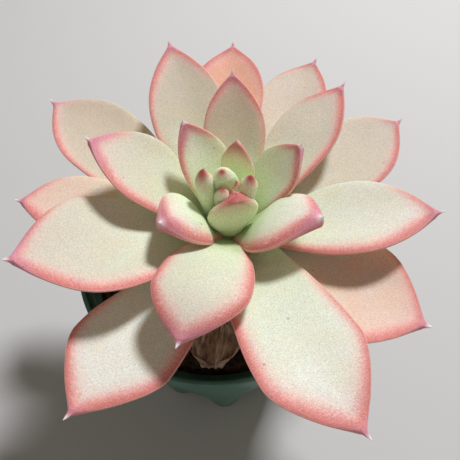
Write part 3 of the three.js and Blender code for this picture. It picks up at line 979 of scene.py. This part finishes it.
@dataclass(frozen=True)
class Pot:
    """A thin moulded shell on rounded feet, with a slit between each pair of feet."""

    height: float = 94.0
    rim_radius: float = 52.5
    lip_round: float = 0.6
    flange_height: float = 6.0
    flange_wall: float = 1.7
    shoulder_radius: float = 48.4
    foot_radius: float = 36.7
    valley_depth: float = 6.5
    valley_top: float = 46.0
    corner: float = 3.0
    wall: float = 1.5
    floor: float = 2.0
    feet: int = 8
    first_foot: float = math.radians(-85)
    slit_width: float = 3.2
    slit_top: float = 37.0
    slit_inner: float = 11.0
    fillet: float = 0.9
    under_round: float = 0.5
    ledge_drops: tuple[float, ...] = (2.0, 3.0, 4.0, 4.7)
    step_drop: float = 5.3
    step_width: float = 0.4
    lowest_ring: float = 5.0
    inner_top: float = 86.0
    floor_fillet: float = 1.4
    outer_rings: int = 44
    inner_rings: int = 40
    sides: int = 384

    def body_radius(self, z: Array) -> Array:
        """Outside of the wall: a plain taper from the foot to the shoulder."""
        share = np.asarray(z, float) / (self.height - self.flange_height)
        return self.foot_radius + (self.shoulder_radius - self.foot_radius) * share

    def valley(self, angle: Array, z: Array) -> Array:
        """How far the wall draws in: a power of a sine round the pot, fading upwards."""
        wave = np.abs(np.sin(self.feet / 2 * (angle - self.first_foot)))
        return self.valley_depth * wave**2.4 * (1 - smooth(0, self.valley_top, z))

    def profile(self) -> tuple[Array, Array]:
        """The wall's outline from the middle of the underside, up and over the rim to the floor.

        Returns:
            Radius and height of each ring, before the valleys are drawn in.
        """
        under = self.height - self.flange_height
        inside = self.rim_radius - self.flange_wall
        inner_foot, outer_rim, top = self.slit_inner * 0.5, self.rim_radius, self.height
        turn = np.linspace(0, math.pi / 2, 9)
        quarter = list(zip(1 - np.cos(turn), 1 - np.sin(turn)))
        line: list[tuple[float, float]] = [(inner_foot, 0), (self.foot_radius * 0.6, 0)]
        for share, _ in quarter:
            z = self.corner * share
            line.append((self.body_radius(z) - self.corner * (1 - math.sqrt(1 - (1 - share) ** 2)), z))
        outer = np.linspace(self.lowest_ring, under - 1, self.outer_rings)
        line += [(float(self.body_radius(z)), z) for z in outer]
        line += [(self.shoulder_radius + self.fillet * a, under - self.fillet * b) for a, b in quarter]
        for inset, rise in ((1.0, 0.0), (0.3, 0.24), (0.0, 1.0)):
            line.append((outer_rim - self.under_round * inset, under + self.under_round * rise))
        line += [(outer_rim, z) for z in np.linspace(under + 1, top - 1, 5)]
        line += [(outer_rim - self.lip_round * a, top - self.lip_round * b) for a, b in quarter]
        line += [(inside + self.lip_round * b, top - self.lip_round * a) for a, b in quarter]
        line += [(inside, top - drop) for drop in self.ledge_drops]
        line += [(inside - self.step_width, top - self.step_drop)]
        inner = np.linspace(self.inner_top, self.lowest_ring, self.inner_rings)
        line += [(float(self.body_radius(z)) - self.wall, z) for z in inner]
        line += [(float(self.body_radius(self.floor)) - self.wall - self.floor_fillet, self.floor)]
        line += [(self.foot_radius * 0.5, self.floor), (inner_foot, self.floor)]
        radius, z = np.array(line).T
        return radius, z

    def shell(self) -> Skin:
        """The whole shell before the slits: each ring is the outline drawn in by the valleys."""
        radius, z = self.profile()
        angle = self.first_foot + np.arange(self.sides) / self.sides * TAU
        drawn = self.valley(angle[None, :], z[:, None])
        drawn = drawn * smooth(self.slit_inner, self.foot_radius * 0.8, radius)[:, None]
        reach = radius[:, None] - drawn
        return Skin.over_rings(stacked(reach * np.cos(angle), reach * np.sin(angle), z[:, None]))

    def slits(self) -> Skin:
        """Eight boxes, one in each valley, that run out over the floor and up the wall."""
        spare = 10.0
        reach = self.foot_radius + spare
        corners = np.array(list(itertools.product((0, 1), repeat=3)), float)
        sides = [[0, 1, 3, 2], [4, 6, 7, 5], [0, 4, 5, 1], [2, 3, 7, 6], [0, 2, 6, 4], [1, 5, 7, 3]]
        boxes = []
        for foot in range(self.feet):
            outward, sideways = turned(self.first_foot + (foot + 0.5) / self.feet * TAU)
            along = self.slit_inner + (reach - self.slit_inner) * corners[:, 0]
            across = self.slit_width * (corners[:, 1] - 0.5)
            points = np.outer(along, outward) + np.outer(across, sideways)
            points[:, 2] = -spare + (self.slit_top + spare) * corners[:, 2]
            boxes.append(Skin(points, [list(side) for side in sides]).outwards())
        return Skin.joined(boxes)

    def build(self) -> bpy.types.Object:
        """Makes the shell, cuts the slits out of it and puts it in place of the plain pot."""
        made = piece("pot_shell", self.shell().mesh("pot_shell"), PotFinish().material())
        cutter = placed("slits", self.slits().mesh("slits"))
        cut = made.modifiers.new("slits", "BOOLEAN")
        cut.operation = "DIFFERENCE"
        cut.solver = "EXACT"
        cut.object = cutter
        bpy.context.view_layer.update()
        seen = made.evaluated_get(bpy.context.evaluated_depsgraph_get())
        carved = bpy.data.meshes.new_from_object(seen)
        made.modifiers.clear()
        made.data = carved
        carved.set_sharp_from_angle(angle=math.radians(35))
        bpy.data.objects.remove(cutter)
        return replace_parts(made, "pot")


# Soil


@dataclass(frozen=True)
class Soil:
    """Bark soil that fills the pot, with loose chips and crumbs on its top."""

    pot: Pot
    stem: Stem
    top: float = 86.0
    edge: float = 83.0
    mound: float = 1.6
    relief: float = 0.7
    gap: float = 0.5
    chips: int = 260
    chip_size: tuple[float, float] = (3.0, 9.0)
    crumbs: int = 1500
    crumb_size: tuple[float, float] = (0.7, 2.2)
    mound_reach: float = 22.0
    floor_gap: float = 0.3
    lowest_ring: float = 4.0
    foot_inset: float = 1.6
    lid_shares: tuple[float, float] = (0.985, 0.03)
    lump_size: float = 3.2
    lump_height: float = 0.9
    side_size: float = 2.5
    side_relief: float = 0.006
    boxiness: float = 0.55
    tilt: float = 0.28
    chip_relief: float = 0.12
    clearance: float = 3.0
    wall_rings: int = 60
    lid_rings: int = 90
    sides: int = 240

    def level(self, x: Array, y: Array) -> Array:
        """Height of the soil: a mound round the stem, and two crossed waves."""
        d = np.hypot(x - self.stem.x, y - self.stem.y)
        waves = np.sin(x * 0.61 + 1.3) * np.cos(y * 0.53) + 0.6 * np.sin(x * 0.27 - y * 0.41)
        return self.top + self.mound * np.exp(-((d / self.mound_reach) ** 2)) + self.relief * waves

    def body(self) -> Skin:
        """The soil as one closed body, rough on its top and on its sides."""
        pot = self.pot
        inset = pot.wall + self.gap
        angle = pot.first_foot + np.arange(self.sides) / self.sides * TAU
        rings = np.linspace(self.lowest_ring, self.edge, self.wall_rings)
        heights = np.concatenate([[pot.floor + self.floor_gap], rings])
        reach = pot.body_radius(heights)[:, None] - pot.valley(angle[None, :], heights[:, None]) - inset
        reach[0] -= self.foot_inset
        wall = stacked(reach * np.cos(angle), reach * np.sin(angle), heights[:, None])
        shares = np.linspace(*self.lid_shares, self.lid_rings)
        radius = (pot.body_radius(self.edge) - inset) * shares[:, None]
        x, y = radius * np.cos(angle), radius * np.sin(angle)
        z = self.level(x, y) - (self.top - self.edge) * smooth(0.9, 1.0, shares)[:, None]
        rough = Grain(21).layered(stacked(x, y, z) / self.lump_size, 3)
        lid = stacked(x, y, z + self.lump_height * rough)
        sides = Grain(22).layered(wall[1:-1] / self.side_size, 2)
        wall[1:-1, :, :2] *= 1 - self.side_relief * (1 + sides)[..., None]
        return Skin.over_rings(np.concatenate([wall, lid]))

    def scattered(self, count: int, size: tuple[float, float], flat: float, seed: int,
                  rings: int, sides: int) -> Skin:
        """Loose pieces strewn over the soil, each a rough boxy lump half sunk in it.

        A lump is a superellipsoid: cosines and sines of two angles, each to the power 0.55, scaled
        to a length, a breadth and a thickness, with random relief on it, then turned at random.

        Args:
            count: how many.
            size: smallest and largest length.
            flat: thickness as a share of the length.
            seed: where the random stream starts.
            rings: rings of one lump.
            sides: sides of one lump.

        Returns:
            All the lumps as one skin.
        """
        draw = np.random.default_rng(seed)
        grain = Grain(seed)
        rise = np.linspace(-0.49, 0.49, rings)[:, None] * math.pi
        around = (np.arange(sides) / sides * TAU)[None, :]

        def squared(value: Array) -> Array:
            """A sine or cosine pushed towards its ends, which makes a ball boxy."""
            return np.sign(value) * np.abs(value) ** self.boxiness

        girth = squared(np.cos(rise))
        ball = stacked(girth * squared(np.cos(around)), girth * squared(np.sin(around)),
                       squared(np.sin(rise)))
        lumps = []
        reach_most = float(self.pot.body_radius(self.edge)) - self.pot.wall - self.clearance
        for number in range(count):
            length = size[0] + (size[1] - size[0]) * draw.random() ** 1.6
            breadth, thick = draw.uniform(0.4, 0.8), flat * draw.uniform(0.6, 1.2)
            scale = length * np.array([1.0, breadth, thick])
            reach = math.sqrt(draw.uniform(0.05, 1.0)) * (reach_most - length * 0.4)
            at = draw.uniform(0, TAU)
            spin, tilt = draw.uniform(0, TAU), draw.normal(0, self.tilt)
            lump = ball * scale / 2
            lump += grain.at(ball * 1.3 + number * 3.1)[..., None] * self.chip_relief * length * ball
            lump = lump @ turn_matrix(tilt, draw.normal(0, self.tilt), spin).T
            x, y = reach * math.cos(at), reach * math.sin(at)
            lump += [x, y, float(self.level(np.array(x), np.array(y))) + 0.12 * length * flat]
            lumps.append(Skin.over_rings(lump))
        return Skin.joined(lumps)

    def build(self) -> None:
        """Makes the body, the chips and the crumbs."""
        fine = BarkFinish("soil_crumb", paint("1C130C"), paint("54402A"), 1.0).material()
        chip = BarkFinish("bark_chip", paint("24160E"), paint("6A4C36"), 0.25).material()
        body = piece("soil_bed", self.body().mesh("soil_bed"), fine)
        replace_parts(body, "soil")
        chips = self.scattered(self.chips, self.chip_size, 0.42, 31, 9, 12)
        piece("bark_chips", chips.mesh("bark_chips"), chip)
        crumbs = self.scattered(self.crumbs, self.crumb_size, 0.7, 32, 5, 6)
        piece("soil_crumbs", crumbs.mesh("soil_crumbs"), fine)


def turn_matrix(about_x: float, about_y: float, about_z: float) -> Array:
    """The rotation about x, then y, then z, by angles in radians."""
    cx, sx, cy, sy = math.cos(about_x), math.sin(about_x), math.cos(about_y), math.sin(about_y)
    cz, sz = math.cos(about_z), math.sin(about_z)
    first = np.array([[1, 0, 0], [0, cx, -sx], [0, sx, cx]])
    second = np.array([[cy, 0, sy], [0, 1, 0], [-sy, 0, cy]])
    third = np.array([[cz, -sz, 0], [sz, cz, 0], [0, 0, 1]])
    return third @ second @ first


# Withered leaves


@dataclass(frozen=True)
class DryLeaf:
    """A withered lower leaf: a thin ridged fan on the soil, gathered at the stem."""

    node: str
    turn: float
    start: float
    length: float
    width: float
    thick: float
    ridges: int
    ridge: float
    lift: float
    tip: float
    soil_top: float = 86.0
    widest: float = 0.75
    narrowing: float = 0.35
    tear: float = 1.1
    bow: float = 3.5
    curl: float = 1.8
    crumple: float = 0.7
    rows: int = 130
    columns: int = 150

    def build(self, stem: Stem, finish: bpy.types.Material) -> bpy.types.Object:
        """Makes the fan.

        Its width opens by a sine and closes a little. Its ridges run out along it where a random
        relief, stretched along the leaf, passes through 0, with finer ones between them, and its
        outer edge is bowed and torn by random relief.

        Args:
            stem: the stem that it is gathered at.
            finish: its material.

        Returns:
            The piece, in place of the plain one.
        """
        outward, sideways = turned(math.radians(self.turn))
        grain = Grain(60 + self.ridges)
        share = np.linspace(0, 1, self.rows)[:, None]
        across = np.linspace(-1, 1, self.columns)[None, :]
        opening = 0.3 + 0.7 * np.sin(np.pi / 2 * np.clip(share / self.widest, 0, 1))
        closing = 1 - self.narrowing * np.clip((share - self.widest) / (1 - self.widest), 0, 1) ** 2
        wide = self.width / 2 * opening * closing
        length = self.length + self.tear * grain.layered(stacked(across * 4.0, 0.3, 0.7), 3)
        bend = across**2 * share
        reach = self.start + length * share - self.bow * bend
        wander = grain.at(stacked(share * 2.6, across * 1.2, 2.5))
        lanes = (across + 0.14 * wander) * self.ridges * 0.85
        crease = grain.layered(stacked(lanes, share * 2.2, 1.1), 3)
        fold = 1 - np.clip(np.abs(crease) * 2.2, 0, 1) ** 0.8
        fine = 0.5 + 0.5 * grain.at(stacked(across * self.ridges * 4.5, share * 2.5, 8.1))
        crumple = grain.layered(stacked(share * 9, across * 5, 4.2), 3)
        ridge = (2 * fold - 1) * self.ridge * 1.3 + 0.6 * fine * self.ridge
        rise = self.soil_top + self.lift + (ridge + self.crumple * crumple) * smooth(0, 0.3, share)
        rise = rise + self.tip * share**2 + self.curl * bend
        half = self.thick / 2 * (1 - 0.55 * smooth(0.7, 1.0, share))
        flat = (np.array([stem.x, stem.y, 0.0]) + reach[..., None] * outward
                + (wide * across)[..., None] * sideways)
        upper, lower = (stacked(flat[..., 0], flat[..., 1], rise + face * half) for face in (1, -1))
        grid = np.concatenate([upper, lower[:, ::-1]], axis=1)
        edge = np.minimum((1 - share) * self.length, wide * (1 - np.abs(across)) * 1.6)
        values = {"skin": stacked(share * self.length, across * wide, fold),
                  "end": stacked(edge, 0.0, 0.0)}
        doubled = {k: np.concatenate([v, v[:, ::-1]], axis=1) for k, v in values.items()}
        closed = Skin.over_rings(grid, doubled)
        name = f"{self.node}_sheet"
        made = piece(name, closed.mesh(name), finish)
        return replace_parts(made, self.node)


DRY_LEAVES = (
    DryLeaf("dry_leaf_1", 264, 12, 39, 20, 0.9, 5, 0.6, 1.6, 4.5),
    DryLeaf("dry_leaf_2", 273, 13, 26, 8, 0.9, 3, 0.5, 4, 3.4),
)


# Studio


class Lamp(Enum):
    """The lamps: place in metres, width, power in watts, colour, and the cone of a spot lamp."""

    KEY = ((0.40, 0.62, 1.15), 0.24, 15.6, (0.98, 1.0, 1.08), 0.0)
    FILL = ((-0.35, -1.35, 0.5), 0.9, 0.9, (1.0, 0.98, 0.94), 0.0)
    MIDDLE = ((0.02, -0.5, 0.8), 0.12, 8.5, (1.0, 1.0, 0.97), 6.8)


@dataclass(frozen=True)
class Studio:
    """A plain pale floor, soft light and the camera that looks as the photographer did."""

    camera_place: tuple[float, float, float] = (0.0054, -0.0951, 0.2450)
    look_down: float = 55.5
    lens: float = 36.0
    aim: tuple[float, float, float] = (0.0, 0.0, 0.11)
    sky: Colour = (1.0, 0.95, 0.88, 1.0)
    sky_strength: float = 0.15
    floor_size: float = 8.0

    def camera(self) -> None:
        """Sets up the camera: level, looking along +Y and down."""
        data = bpy.data.cameras.new("camera")
        data.lens = data.sensor_width = self.lens
        data.clip_start = 0.01
        camera = placed("camera", data)
        camera.location = self.camera_place
        camera.rotation_euler = (math.radians(90 - self.look_down), 0, 0)
        bpy.context.scene.camera = camera

    def lamps(self) -> None:
        """Hangs the lamps, each turned to the plant."""
        for lamp in Lamp:
            place, width, power, colour, cone = lamp.value
            data = bpy.data.lights.new(lamp.name.lower(), "SPOT" if cone else "AREA")
            if cone:
                data.spot_size = math.radians(cone)
                data.spot_blend = 1.0
                data.shadow_soft_size = width / 2
            else:
                data.shape = "DISK"
                data.size = width
            data.energy = power
            data.color = colour
            thing = placed(lamp.name.lower(), data)
            thing.location = place
            way = Vector(self.aim) - Vector(place)
            thing.rotation_euler = way.to_track_quat("-Z", "Y").to_euler()

    def surroundings(self) -> None:
        """Makes the floor and the even light from all round."""
        half = self.floor_size / 2
        mesh = bpy.data.meshes.new("floor")
        corners = [(-half, -half, 0), (half, -half, 0), (half, half, 0), (-half, half, 0)]
        mesh.from_pydata(corners, [], [(0, 1, 2, 3)])
        graph = Graph("pale_floor")
        mesh.materials.append(graph.finish({"Base Color": paint("D6D3CD"), "Roughness": 0.9}))
        floor = placed("floor", mesh)
        world = bpy.data.worlds.new("sky")
        world.use_nodes = True
        background = world.node_tree.nodes["Background"]
        background.inputs["Color"].default_value = self.sky
        background.inputs["Strength"].default_value = self.sky_strength
        bpy.context.scene.world = world
        bpy.context.scene.view_settings.view_transform = "Standard"


def main() -> None:
    """Builds the plant and the studio in order."""
    logging.basicConfig(level=logging.INFO, format="%(message)s")
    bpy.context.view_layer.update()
    studio = Studio()
    studio.camera()
    stem = Stem()
    pot = Pot()
    pot.build()
    Soil(pot, stem).build()
    stem.build()
    Rosette(stem).build()
    withered = DryFinish().material()
    for dry_leaf in DRY_LEAVES:
        dry_leaf.build(stem, withered)
    studio.lamps()
    studio.surroundings()


if __name__ == "__main__":
    main()
